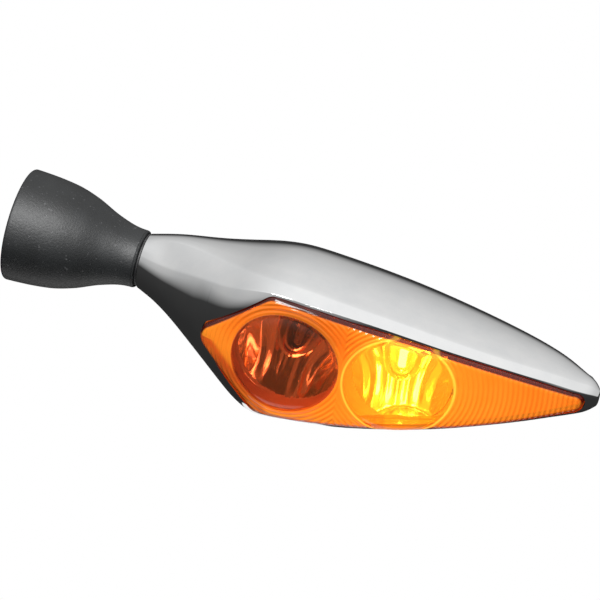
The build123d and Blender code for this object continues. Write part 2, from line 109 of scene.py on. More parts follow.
SCREW_X, SCREW_Z = 68.6, -6.9  # lens screw, in the back of the head
SCREW_SEAT_Y = 5.0
SCREW_HOLE = 1.25
COUNTERBORE = 2.25
EDGE_SAG = 0.012  # how the lens face falls away towards its edges by the neck
SAG_START, SAG_END = 44.0, 58.0  # the fall fades out between these X
RIDGE_ROUND = 1.5  # how far the ridge's rounding runs over the back
KITE_LEFT = (40.1, 0.0)  # lens outline in the XZ plane
KITE_CORNER = (53.9, 12.6)
KITE_MIDDLE = (82.0, 8.9)
KITE_NOSE = (109.0, 2.0)
KITE_FILLET = 3.0


class Station(NamedTuple):
    """Section of the head at one X: the ridge, the front rim and the back."""

    x: float
    ridge_y: float
    ridge_z: float
    rim_y: float
    rim_z: float
    front_y: float
    back_y: float


HEAD = [
    Station(NECK_X, -0.63, 5.16, -3.98, 3.34, -5.2, 5.2),
    Station(31.0, -2.9, 7.8, -7.3, 4.5, -9.2, 5.2),
    Station(38.0, -6.5, 9.65, -11.4, 7.0, -14.3, 6.1),
    Station(45.0, -11.0, 11.5, -15.7, 9.7, -18.7, 7.7),
    Station(53.4, -15.2, 13.7, -18.9, 12.85, -20.1, 8.9),
    Station(60.0, -15.3, 13.5, -18.7, 12.55, -19.6, 9.25),
    Station(66.0, -15.1, 12.9, -18.2, 12.05, -19.0, 9.4),
    Station(76.0, -13.9, 11.5, -16.5, 10.6, -17.0, 9.3),
    Station(86.8, -11.7, 9.3, -14.0, 8.4, -14.4, 8.7),
    Station(94.3, -9.5, 7.5, -11.5, 6.62, -11.9, 7.9),
    Station(101.5, -6.8, 5.6, -8.8, 4.75, -9.1, 6.5),
    Station(106.2, -4.7, 4.2, -6.8, 3.45, -7.1, 4.7),
    Station(110.0, -2.9, 2.9, -5.2, 2.35, -5.4, 2.5),
    Station(112.0, -2.1, 2.1, -3.9, 1.65, -4.1, 0.9),
    Station(113.0, -1.8, 1.35, -2.9, 1.05, -3.1, -0.5),
]
TIP_X = HEAD[-1].x


def track_slopes(xs, ys):
    """Slopes of the smoothest curve through the stations, with free ends."""
    steps = np.diff(xs)
    rises = np.diff(ys) / steps
    count = len(xs)
    system = np.zeros((count, count))
    known = np.zeros(count)
    system[0, :2] = 2, 1
    known[0] = 3 * rises[0]
    system[-1, -2:] = 1, 2
    known[-1] = 3 * rises[-1]
    for i in range(1, count - 1):
        system[i, i - 1 : i + 2] = steps[i], 2 * (steps[i - 1] + steps[i]), steps[i - 1]
        known[i] = 3 * (steps[i] * rises[i - 1] + steps[i - 1] * rises[i])
    return np.linalg.solve(system, known)


def smooth_track(field, x):
    """One field of the stations at X, along a curve with continuous curvature."""
    xs = np.array([station.x for station in HEAD])
    ys = np.array([getattr(station, field) for station in HEAD])
    slopes = track_slopes(xs, ys)
    x = np.clip(np.asarray(x, float), xs[0], xs[-1])
    i = np.clip(np.searchsorted(xs, x) - 1, 0, len(xs) - 2)
    width = xs[i + 1] - xs[i]
    t = (x - xs[i]) / width
    start = ys[i] * (1 + 2 * t) * (1 - t) ** 2 + slopes[i] * width * t * (1 - t) ** 2
    end = ys[i + 1] * t * t * (3 - 2 * t) + slopes[i + 1] * width * t * t * (t - 1)
    return start + end


def smoothstep(low, high, value):
    """0 before low, 1 after high and smooth between."""
    t = np.clip((value - low) / (high - low), 0, 1)
    return t * t * (3 - 2 * t)


def front_y(x, depth=0.0):
    """Y of the lens plan curve at X, or of the curve depth behind it."""
    radius = np.where(np.asarray(x) > FRONT_CREST_X, FRONT_RADIUS, NECK_SIDE_RADIUS) - depth
    return FRONT_CREST_Y + depth + radius - np.sqrt(radius**2 - (x - FRONT_CREST_X) ** 2)


# ---- making meshes ----
def add_mesh(name, points, faces, body, material, smooth=True):
    """A new mesh object from points in millimetres, riding on a body."""
    mesh = bpy.data.meshes.new(name)
    mesh.from_pydata((np.asarray(points, float) * MM).tolist(), [], faces)
    mesh.validate()
    mesh.update()
    obj = bpy.data.objects.new(name, mesh)
    bpy.context.collection.objects.link(obj)
    mesh.polygons.foreach_set("use_smooth", [smooth] * len(mesh.polygons))
    mesh.materials.append(material)
    if body:
        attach(obj, body)
    return obj


def grid_faces(rows, columns, start=0, close_rows=False, close_columns=False, flip=False):
    """Quads joining a grid of points stored row by row."""
    faces = []
    for i in range(rows if close_rows else rows - 1):
        for j in range(columns if close_columns else columns - 1):
            a = start + i * columns + j
            b = start + i * columns + (j + 1) % columns
            c = start + ((i + 1) % rows) * columns + (j + 1) % columns
            d = start + ((i + 1) % rows) * columns + j
            faces.append((a, d, c, b) if flip else (a, b, c, d))
    return faces


def lathe(name, profile, origin, direction, body, material, segments=96, closed=False):
    """A turned piece: profile holds (distance along the axis, radius) pairs."""
    axis = Vector(direction).normalized()
    side = axis.orthogonal().normalized()
    if abs(axis.z) < 0.9:
        side = (Vector((0, 0, 1)) - axis * axis.z).normalized()
    other = axis.cross(side)
    points = []
    for along, radius in profile:
        for k in range(segments):
            angle = 2 * HALF_TURN * k / segments
            out = side * math.cos(angle) + other * math.sin(angle)
            points.append(Vector(origin) + axis * along + out * radius)
    faces = grid_faces(len(profile), segments, close_rows=closed, close_columns=True)
    return add_mesh(name, points, faces, body, material)


def smooth_by_angle(obj, degrees=35):
    """Keeps edges sharper than an angle crisp in the shading."""
    mesh = obj.data
    mesh.update()
    normals = np.empty(len(mesh.polygons) * 3)
    mesh.polygons.foreach_get("normal", normals)
    normals = normals.reshape(-1, 3)
    beside = {}
    for poly in mesh.polygons:
        for key in poly.edge_keys:
            beside.setdefault(key, []).append(poly.index)
    limit = math.cos(math.radians(degrees))
    for edge in mesh.edges:
        sides = beside.get(tuple(sorted(edge.vertices)), [])
        if len(sides) == 2 and normals[sides[0]] @ normals[sides[1]] < limit:
            edge.use_edge_sharp = True
    return obj


# ---- materials ----
class Nodes:
    """Short ways to build a material's node tree."""

    def __init__(self, name):
        self.material = bpy.data.materials.new(name)
        self.material.use_nodes = True
        self.tree = self.material.node_tree
        self.shader = self.tree.nodes["Principled BSDF"]
        self.output = self.tree.nodes["Material Output"]

    def add(self, kind, **values):
        node = self.tree.nodes.new(kind)
        for key, value in values.items():
            if key in node.inputs:
                node.inputs[key].default_value = value
            else:
                setattr(node, key, value)
        return node

    def link(self, source, target):
        self.tree.links.new(source, target)

    def coordinates(self):
        return self.add("ShaderNodeTexCoord").outputs["Object"]

    def noise(self, scale, detail=4.0, roughness=0.5, where=None):
        node = self.add("ShaderNodeTexNoise", Scale=scale, Detail=detail, Roughness=roughness)
        self.link(where or self.coordinates(), node.inputs["Vector"])
        return node.outputs["Fac"]

    def ramp(self, source, stops):
        node = self.add("ShaderNodeValToRGB")
        while len(node.color_ramp.elements) < len(stops):
            node.color_ramp.elements.new(0.5)
        for element, (place, colour) in zip(node.color_ramp.elements, stops):
            element.position = place
            element.color = (*colour, 1) if len(colour) == 3 else colour
        self.link(source, node.inputs["Fac"])
        return node.outputs["Color"]

    def remap(self, source, low, high, from_low=0.0, from_high=1.0, smooth=False):
        node = self.add("ShaderNodeMapRange")
        node.interpolation_type = "SMOOTHSTEP" if smooth else "LINEAR"
        node.inputs["From Min"].default_value = from_low
        node.inputs["From Max"].default_value = from_high
        node.inputs["To Min"].default_value = low
        node.inputs["To Max"].default_value = high
        self.link(source, node.inputs["Value"])
        return node.outputs["Result"]

    def math(self, operation, first, second=None):
        node = self.add("ShaderNodeMath", operation=operation)
        for socket, value in zip(node.inputs, (first, second)):
            if value is None:
                continue
            if isinstance(value, (int, float)):
                socket.default_value = value
            else:
                self.link(value, socket)
        return node.outputs[0]

    def mix(self, factor, first, second):
        node = self.add("ShaderNodeMix", data_type="RGBA")
        for socket, value in zip((node.inputs[0], node.inputs[6], node.inputs[7]), (factor, first, second)):
            if isinstance(value, (int, float)):
                socket.default_value = value
            elif isinstance(value, tuple):
                socket.default_value = (*value, 1)
            else:
                self.link(value, socket)
        return node.outputs[2]

    def bump(self, height, strength, distance):
        node = self.add("ShaderNodeBump", Strength=strength, Distance=distance)
        self.link(height, node.inputs["Height"])
        self.link(node.outputs["Normal"], self.shader.inputs["Normal"])
        return node.outputs["Normal"]

    def set(self, **values):
        for key, value in values.items():
            socket = self.shader.inputs[key.replace("_", " ")]
            if isinstance(value, (int, float)):
                socket.default_value = value
            elif isinstance(value, tuple):
                socket.default_value = (*value, 1)
            else:
                self.link(value, socket)
        return self


def rubber(name, dark=(0.004, 0.0046, 0.005), light=(0.011, 0.0122, 0.013)):
    """Moulded matte rubber: fine grain, a little dust and soft sheen."""
    nodes = Nodes(name)
    grain = nodes.noise(2600, 5, 0.62)
    cloud = nodes.noise(140, 3, 0.5)
    speck = nodes.remap(nodes.noise(1500, 2, 0.5), 0, 1, 0.66, 0.74)
    colour = nodes.ramp(cloud, [(0.3, dark), (0.72, light)])
    colour = nodes.mix(nodes.math("MULTIPLY", speck, 0.35), colour, (0.12, 0.12, 0.125))
    nodes.set(Base_Color=colour, Roughness=nodes.remap(grain, 0.42, 0.6), Specular_IOR_Level=0.55)
    nodes.bump(nodes.math("ADD", grain, nodes.math("MULTIPLY", cloud, 0.3)), 0.55, 0.00012)
    return nodes.material


def chrome():
    """Bright chrome plate with faint haze and hairline polish."""
    nodes = Nodes("chrome")
    haze = nodes.noise(220, 4, 0.6)
    swirl = nodes.noise(2400, 2, 0.5)
    polish = nodes.math("ADD", haze, nodes.math("MULTIPLY", swirl, 0.2))
    nodes.set(
        Base_Color=nodes.ramp(haze, [(0.3, (0.86, 0.87, 0.875)), (0.75, (0.93, 0.93, 0.925))]),
        Metallic=1.0,
        Roughness=nodes.remap(polish, 0.015, 0.05, 0.4, 1.0),
    )
    return nodes.material


def metal(name, dark, light, rough=(0.25, 0.4), scale=500):
    """Plain machined or pressed metal with tone and roughness variation."""
    nodes = Nodes(name)
    grain = nodes.noise(scale, 4, 0.6)
    nodes.set(
        Base_Color=nodes.ramp(grain, [(0.3, dark), (0.7, light)]),
        Metallic=1.0,
        Roughness=nodes.remap(grain, *rough),
    )
    nodes.bump(nodes.noise(scale * 5, 2, 0.5), 0.15, 0.00003)
    return nodes.material


def plastic(name, dark, light, rough=(0.3, 0.5), scale=600):
    """Moulded plastic with slight flow marks."""
    nodes = Nodes(name)
    grain = nodes.noise(scale, 3, 0.55)
    nodes.set(
        Base_Color=nodes.ramp(grain, [(0.3, dark), (0.7, light)]),
        Roughness=nodes.remap(grain, *rough),
    )
    nodes.bump(nodes.noise(scale * 4, 2, 0.5), 0.12, 0.00004)
    return nodes.material


RUBBER = rubber("foot_rubber")
SEAL = rubber("seal_rubber", (0.006, 0.006, 0.0065), (0.014, 0.014, 0.015))
CHROME = chrome()
BRASS = metal("brass", (0.55, 0.38, 0.14), (0.72, 0.52, 0.22))
STEEL = metal("plated_steel", (0.42, 0.42, 0.43), (0.62, 0.62, 0.64))
HOLDER = plastic("holder_plastic", (0.03, 0.03, 0.032), (0.055, 0.055, 0.058))
WIRE_COLOURS = {
    "signal_lead": ((0.45, 0.12, 0.01), (0.6, 0.2, 0.03)),
    "position_lead": ((0.02, 0.06, 0.25), (0.04, 0.1, 0.35)),
    "ground_lead": ((0.012, 0.012, 0.013), (0.03, 0.03, 0.032)),
}


# ---- rubber foot, in two stretches that meet at the bending axes ----
def foot_radius(x):
    """Outer radius of the rubber foot at X: a bell that sweeps in to a straight end."""
    knots_x = np.array([0.5, 8.6, 13.0, 17.8, FOOT_END - 2.2, FOOT_END])
    knots_r = np.array([FOOT_RADIUS, 9.95, 8.75, 6.75, 5.6, 5.45])
    slopes = np.gradient(knots_r, knots_x)
    slopes[0] = -0.03
    slopes[1] = -0.16
    k = np.clip(np.searchsorted(knots_x, x, side="right") - 1, 0, len(knots_x) - 2)
    h = knots_x[k + 1] - knots_x[k]
    t = (x - knots_x[k]) / h
    return (
        knots_r[k] * (1 + 2 * t) * (1 - t) ** 2
        + slopes[k] * h * t * (1 - t) ** 2
        + knots_r[k + 1] * t * t * (3 - 2 * t)
        - slopes[k + 1] * h * t * t * (1 - t)
    )


def make_foot():
    """Two blended lathes: mounting face to the bending axes, then on to the neck."""
    quarter = np.linspace(0, HALF_TURN / 2, 7)
    lip = [(0.5 - 0.5 * math.cos(a), FOOT_RADIUS - 0.5 + 0.5 * math.sin(a)) for a in quarter]
    outer = [(x, float(foot_radius(x))) for x in np.arange(0.8, FLEX_X + 0.01, 0.2)]
    face = [(insert_high[0], 5.52), (0.35, 5.52), (0.1, 5.75), (0.0, 6.0)]
    for groove in (7.2, 8.6):
        face += [(0.0, groove - 0.3), (0.35, groove - 0.15), (0.35, groove + 0.15), (0.0, groove + 0.3)]
    root = lathe("foot_root", face + lip + outer, (0, 0, 0), (1, 0, 0), None, RUBBER, 128)
    outer = [(x, float(foot_radius(x))) for x in np.arange(FLEX_X, FOOT_END - 0.39, 0.2)]
    edge = FOOT_END - 0.4
    end_radius = float(foot_radius(FOOT_END))
    end = [(edge + 0.4 * math.sin(a), end_radius - 0.4 + 0.4 * math.cos(a)) for a in quarter]
    end += [(FOOT_END, NECK_BORE), (FOOT_END - 5, NECK_BORE)]
    tail = lathe("foot_neck", outer + end, (0, 0, 0), (1, 0, 0), None, RUBBER, 128)
    smooth_by_angle(root, 50)
    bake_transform(root)
    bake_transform(tail)
    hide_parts("rubber_foot")


def make_insert():
    """Brass insert with its helical thread."""
    pitch, crest, root = 1.25, 3.4, 3.95
    turns, steps = int(insert_high[0] / pitch) - 1, 64
    points, rows = [], []
    for k in range((turns + 1) * steps + 1):
        angle = 2 * HALF_TURN * k / steps
        along = 0.6 + pitch * k / steps
        for offset, radius in ((-0.5, root), (-0.1, crest), (0.1, crest), (0.5, root)):
            x = min(along + offset * pitch, insert_high[0])
            points.append((x, radius * math.cos(angle), radius * math.sin(angle)))
        rows.append(k)
    thread = add_mesh("insert_thread", points, grid_faces(len(rows), 4), "foot", BRASS)
    length = insert_high[0]
    profile = [(length, root + 0.02), (0.55, root + 0.02), (0.0, 4.5), (0.0, 5.3), (0.2, 5.5), (length, 5.5)]
    body = lathe("insert_body", profile, (0, 0, 0), (1, 0, 0), "foot", BRASS, 96, closed=True)
    smooth_by_angle(body, 30)
    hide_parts("threaded_insert")


def make_seal():
    """The dark ring between the rubber and the chrome."""
    low, high = seal_low[0], seal_high[0]
    radius = seal_high[1]
    bevel = 0.15
    profile = [(low, NECK_BORE), (low, radius - bevel), (low + bevel, radius), (high - bevel, radius)]
    profile += [(high, radius - bevel), (high, NECK_BORE)]
    ring = lathe("neck_ring", profile, (0, 0, 0), (1, 0, 0), "head", SEAL, 96, closed=True)
    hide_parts("neck_seal")


# ---- outline of the lens opening ----
def bezier(p0, p1, p2, p3, count):
    """Points on a cubic curve."""
    t = np.linspace(0, 1, count)[:, None]
    p0, p1, p2, p3 = (np.array(p, float) for p in (p0, p1, p2, p3))
    return (1 - t) ** 3 * p0 + 3 * (1 - t) ** 2 * t * p1 + 3 * (1 - t) * t * t * p2 + t**3 * p3


def circle_through(a, b, c):
    """Centre and radius of the circle through three points of the XZ plane."""
    rows = np.array([[b[0] - a[0], b[1] - a[1]], [c[0] - a[0], c[1] - a[1]]])
    right = 0.5 * np.array([b @ b - a @ a, c @ c - a @ a])
    centre = np.linalg.solve(rows, right)
    return centre, float(np.hypot(*(a - centre)))


def kite_outline(spacing=0.3):
    """Upper half of the lens outline from its left vertex to its nose, evenly spaced (x, z)."""
    left, corner, middle, nose = (np.array(p) for p in (KITE_LEFT, KITE_CORNER, KITE_MIDDLE, KITE_NOSE))
    fillet = KITE_FILLET
    edge = (corner - left) / np.linalg.norm(corner - left)
    half = math.atan2(edge[1], edge[0])
    centre_x = left[0] + fillet / math.sin(half)
    angles = np.linspace(HALF_TURN, HALF_TURN / 2 + half, 24)
    start = np.stack([centre_x + fillet * np.cos(angles), fillet * np.sin(angles)], 1)
    centre, radius = circle_through(corner, middle, nose)
    to_corner = corner - centre
    after = np.array([to_corner[1], -to_corner[0]]) / radius
    turn = math.acos(float(edge @ after))
    reach = fillet * math.tan(turn / 2)
    handle = 4 / 3 * math.tan(turn / 4) * fillet
    a, d = corner - edge * reach, corner + after * reach
    rounding = bezier(a, a + edge * handle, d - after * handle, d, 24)
    first = math.atan2(*(d - centre)[::-1])
    last = math.atan2(*(nose - centre)[::-1])
    arc_angles = np.linspace(first, last, 200)
    arc = np.stack([centre[0] + radius * np.cos(arc_angles), centre[1] + radius * np.sin(arc_angles)], 1)
    cap_angles = np.linspace(HALF_TURN / 2, 0, 16)
    cap = np.stack([nose[0] + nose[1] * np.cos(cap_angles), nose[1] * np.sin(cap_angles)], 1)
    path = np.concatenate([start, rounding, arc[1:], cap[1:]])
    length = np.concatenate([[0], np.cumsum(np.hypot(*np.diff(path, axis=0).T))])
    samples = np.linspace(0, length[-1], int(length[-1] / spacing) + 1)
    even = np.stack([np.interp(samples, length, path[:, 0]), np.interp(samples, length, path[:, 1])], 1)
    even[0, 1] = even[-1, 1] = 0
    return even


OUTLINE = kite_outline()
LONG_EDGE = circle_through(*(np.array(p) for p in (KITE_CORNER, KITE_MIDDLE, KITE_NOSE)))


def inset_outline(distance):
    """The outline moved inwards by a distance, point for point."""
    along = np.gradient(OUTLINE, axis=0)
    along[0], along[-1] = (0, 1), (0, -1)
    along /= np.linalg.norm(along, axis=1)[:, None]
    inward = np.stack([along[:, 1], -along[:, 0]], 1)
    moved = OUTLINE + inward * distance
    moved[:, 1] = np.maximum(moved[:, 1], 0)
    return moved


# ---- chromed housing ----
def round_corner(before, corner, after, radius, count=7, far_radius=None):
    """Points of a small rounding at a corner between two neighbours."""
    far_radius = far_radius or radius
    a, b = before - corner, after - corner
    la, lb = np.linalg.norm(a), np.linalg.norm(b)
    start = corner + a * min(radius / la, 0.45)
    end = corner + b * min(far_radius / lb, 0.8)
    t = np.linspace(0, 1, count)[:, None]
    return (1 - t) ** 2 * start + 2 * (1 - t) * t * corner + t * t * end


def head_half_section(x, z_edge=0.0):
    """Upper half of the head's section at X as (y, z), from the front at height z_edge to the back."""
    track = {field: float(smooth_track(field, x)) for field in Station._fields[1:]}
    ridge = np.array([track["ridge_y"], track["ridge_z"]])
    rim = np.array([track["rim_y"], track["rim_z"]])
    size = min(1.0, track["ridge_z"] / 6.0)
    fade = float(smoothstep(NECK_X - 1.0, NECK_X + 5.0, x))

    q = np.linspace(min(z_edge / rim[1], 0.97), 1, 14)
    turned = q ** (2 + 3 * float(smoothstep(38.0, 53.0, x)))
    front = np.stack([track["front_y"] + (rim[0] - track["front_y"]) * turned, rim[1] * q], 1)
    bevel_bulge = 0.42 * (1 - fade)
    s = np.linspace(0, 1, 9)[:, None]
    along = ridge - rim
    outward = np.array([-along[1], along[0]]) / np.linalg.norm(along)
    bevel = rim + along * s + outward * bevel_bulge * 4 * s * (1 - s)
    depth = track["back_y"] - ridge[0]
    square = float(smoothstep(NECK_X - 6.0, 50.0, x))
    pull = np.array([0.494, 0.061]) * (1 - square) + np.array([0.55, 0.04]) * square
    turn = (track["back_y"], (0.5625 + 0.3575 * square) * ridge[1])
    back = bezier(ridge, ridge + pull * depth, turn, (track["back_y"], 0), 54)

    rim_round = round_corner(front[-2], rim, bevel[2], (0.35 + 1.2 * (1 - fade)) * size)
    ridge_radius = (0.4 + 1.4 * (1 - fade)) * size
    ridge_round = round_corner(bevel[-3], ridge, back[5], ridge_radius, 14, RIDGE_ROUND * size)
    return np.concatenate([front[:-1], rim_round, bevel[2:-2], ridge_round, back[5:]])


def make_housing():
    """The chromed shell: smooth sections from neck to tip around the kite-shaped opening."""
    opening = inset_outline(-POCKET_GAP)
    columns = [(x, 0.0) for x in np.arange(NECK_X, opening[0, 0] - 0.05, 0.4)]
    first_open = len(columns)
    columns += [(float(x), float(z)) for x, z in opening]
    last_open = len(columns) - 1
    columns += [(float(x), 0.0) for x in np.linspace(opening[-1, 0] + 0.15, TIP_X, 10)]
    halves = [head_half_section(x, z) for x, z in columns]
    rows = len(halves[0])
    points = []
    for (x, _), half in zip(columns, halves):
        points += [(x, y, z) for y, z in half]
    lower = len(points)
    for (x, _), half in zip(columns, halves):
        points += [(x, y, -z) for y, z in half]
    faces = grid_faces(len(columns), rows, flip=True) + grid_faces(len(columns), rows, lower)

    wall = len(points)
    depths = (0.25, 1.0, POCKET_DEPTH)
    for i in range(first_open, last_open + 1):
        x, z = columns[i]
        top = points[i * rows]
        for depth in depths:
            points.append((x, max(front_y(x, depth), top[1] + 0.05), z))
    count = last_open - first_open + 1
    mirrored = len(points)
    points += [(p[0], p[1], -p[2]) for p in points[wall:mirrored]]
    for side, start, flip in ((0, wall, False), (lower, mirrored, True)):
        for k in range(count - 1):
            a, b = side + (first_open + k) * rows, side + (first_open + k + 1) * rows
            face = (a, start + k * 3, start + (k + 1) * 3, b)
            faces.append(face[::-1] if flip else face)
        faces += grid_faces(count, 3, start, flip=not flip)

    tip = len(points)
    points.append((TIP_X, float(np.mean([p[0] for p in halves[-1]])), 0.0))
    end = (len(columns) - 1) * rows
    for j in range(rows - 1):
        faces.append((end + j, end + j + 1, tip))
        faces.append((lower + end + j + 1, lower + end + j, tip))
    shell = add_mesh("housing_shell", points, faces, "head", CHROME)
    weld(shell)
    open_screw_hole(shell)
    smooth_by_angle(shell, 40)
    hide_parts("housing")
    ledge(opening)


def open_screw_hole(shell):
    """Cuts the counterbore of the lens screw into the back of the shell."""
    work = bmesh.new()
    work.from_mesh(shell.data)

    def reach(vert):
        return math.hypot(vert.co.x / MM - SCREW_X, vert.co.z / MM - SCREW_Z)

    def behind(vert):
        return vert.co.y / MM > SCREW_SEAT_Y

    def covered(verts):
        return all(behind(v) and reach(v) < COUNTERBORE for v in verts)

    gone = [f for f in work.faces if covered(f.verts)]
    bmesh.ops.delete(work, geom=gone, context="FACES")
    rim = [e for e in work.edges if e.is_boundary and covered(e.verts)]
    edge = list({v for e in rim for v in e.verts})
    places = np.array([(1.0, v.co.x, v.co.z) for v in edge])
    surface = np.linalg.lstsq(places, np.array([v.co.y for v in edge]), None)[0]
    for vert in edge:
        stretch = COUNTERBORE / reach(vert)
        vert.co.x = (SCREW_X + (vert.co.x / MM - SCREW_X) * stretch) * MM
        vert.co.z = (SCREW_Z + (vert.co.z / MM - SCREW_Z) * stretch) * MM
        vert.co.y = float(surface @ (1.0, vert.co.x, vert.co.z))
    for radius in (COUNTERBORE, SCREW_HOLE):
        grown = bmesh.ops.extrude_edge_only(work, edges=rim)["geom"]
        rim = [g for g in grown if isinstance(g, bmesh.types.BMEdge)]
        for vert in {v for e in rim for v in e.verts}:
            shrink = radius / reach(vert)
            vert.co.x = (SCREW_X + (vert.co.x / MM - SCREW_X) * shrink) * MM
            vert.co.z = (SCREW_Z + (vert.co.z / MM - SCREW_Z) * shrink) * MM
            vert.co.y = SCREW_SEAT_Y * MM
    bmesh.ops.recalc_face_normals(work, faces=work.faces)
    work.to_mesh(shell.data)
    work.free()


def weld(obj, distance=0.02):
    """Joins points that coincide and turns all faces outwards."""
    work = bmesh.new()
    work.from_mesh(obj.data)
    bmesh.ops.remove_doubles(work, verts=work.verts, dist=distance * MM)
    bmesh.ops.recalc_face_normals(work, faces=work.faces)
    work.to_mesh(obj.data)
    work.free()
    obj.data.polygons.foreach_set("use_smooth", [True] * len(obj.data.polygons))


def ledge(opening):
    """The gasket in the bottom of the pocket, all round the opening."""
    inner = inset_outline(SKIRT_WALL)
    points, count = [], len(OUTLINE)
    for sign in (1, -1):
        for (xo, zo), (xi, zi) in zip(opening, inner):
            top = ((xo, zo, SKIRT_DEPTH), (xi, zi, SKIRT_DEPTH))
            bottom = ((xi, zi, POCKET_DEPTH), (xo, zo, POCKET_DEPTH))
            points += [(x, front_y(x, depth), sign * z) for x, z, depth in top + bottom]
    faces = grid_faces(count, 4, close_columns=True, flip=True)
    faces += grid_faces(count, 4, count * 4, close_columns=True)
    gasket = add_mesh("lens_gasket_loop", points, faces, "head", SEAL)
    weld(gasket, 0.005)
    smooth_by_angle(gasket, 40)
    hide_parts("lens_gasket")


make_foot()
make_insert()
make_seal()
make_housing()


# ---- amber lens ----
def eye_frame(x):
    """Centre of a lamp window on the lens curve and the direction that it faces."""
    turn = math.asin((x - FRONT_CREST_X) / FRONT_RADIUS)
    return np.array([x, front_y(x), 0.0]), np.array([math.sin(turn), -math.cos(turn), 0.0])


def eye_distance(x, z, centre_x):
    """Distance from a lamp's axis over the lens face."""
    slant = math.cos(math.asin((centre_x - FRONT_CREST_X) / FRONT_RADIUS))
    return np.hypot((x - centre_x) / slant, z)


def window_relief(x, z):
    """How far the lens face stands proud: a shallow dome in each lamp window inside a fine bead."""
    height = np.zeros_like(x)
    for centre in EYES.values():
        r = eye_distance(x, z, centre)
        dome = DOME_HEIGHT * (1 - (r / EYE_RADIUS) ** 4)
        bead = BEAD_HEIGHT * np.exp(-(((r - EYE_RADIUS) / BEAD_WIDTH) ** 2))
        height += np.where(r < EYE_RADIUS, dome, 0) + bead
    return height


def lens_sheet(edge_rows, inset, base_depth, relief):
    """Grid of the lens face: edge rows as (inset, drop) pairs, then rows across between the edges."""
    count = len(OUTLINE)
    rows = []
    for distance, drop in edge_rows:
        line = inset_outline(inset + distance)
        rows.append((line[:, 0], line[:, 1], np.full(count, drop)))
    x, z = rows[-1][0], rows[-1][1]
    across = 84
    for k in range(1, across):
        share = 1 - 2 * k / across
        rows.append((x, z * share, np.zeros(count)))
    for distance, drop in reversed(edge_rows):
        line = inset_outline(inset + distance)
        rows.append((line[:, 0], -line[:, 1], np.full(count, drop)))
    points = []
    for x, z, drop in rows:
        sag = EDGE_SAG * (1 - smoothstep(SAG_START, SAG_END, x)) * z * z
        y = front_y(x, base_depth) + sag + drop - (relief(x, z) if relief else 0)
        points.append(np.stack([x, y, z], 1))
    return np.array(points)


def make_lens():
    """One clear amber moulding: domed windows, ribbed field, rounded rim and skirt."""
    edge = 1.1
    quarter = np.linspace(0, HALF_TURN / 2, 8)
    rounding = [(edge * (1 - math.cos(a)), edge * 0.8 * (1 - math.sin(a))) for a in quarter]
    outer_rows = [(0.0, SKIRT_DEPTH + LENS_PROUD), (0.0, 2.6)] + rounding
    outer = lens_sheet(outer_rows, 0.0, -LENS_PROUD, window_relief)
    inner_rows = [(0.0, SKIRT_DEPTH - LENS_WALL + LENS_PROUD), (0.0, 0.0)]
    inner = lens_sheet(inner_rows, SKIRT_WALL, LENS_WALL - LENS_PROUD, None)
    rows, count = outer.shape[:2]
    points = np.concatenate([outer.reshape(-1, 3), inner.reshape(-1, 3)])
    faces = grid_faces(rows, count)
    start = rows * count
    inner_count = inner.shape[0]
    faces += grid_faces(inner_count, count, start, flip=True)
    for k in range(count - 1):
        faces.append((k + 1, k, start + k, start + k + 1))
        a, b = (rows - 1) * count + k, start + (inner_count - 1) * count + k
        faces.append((a, a + 1, b + 1, b))
    lens = add_mesh("lens_moulding", points, faces, "head", lens_material())
    weld(lens, 0.004)
    smooth_by_angle(lens, 40)
    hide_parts("lens")


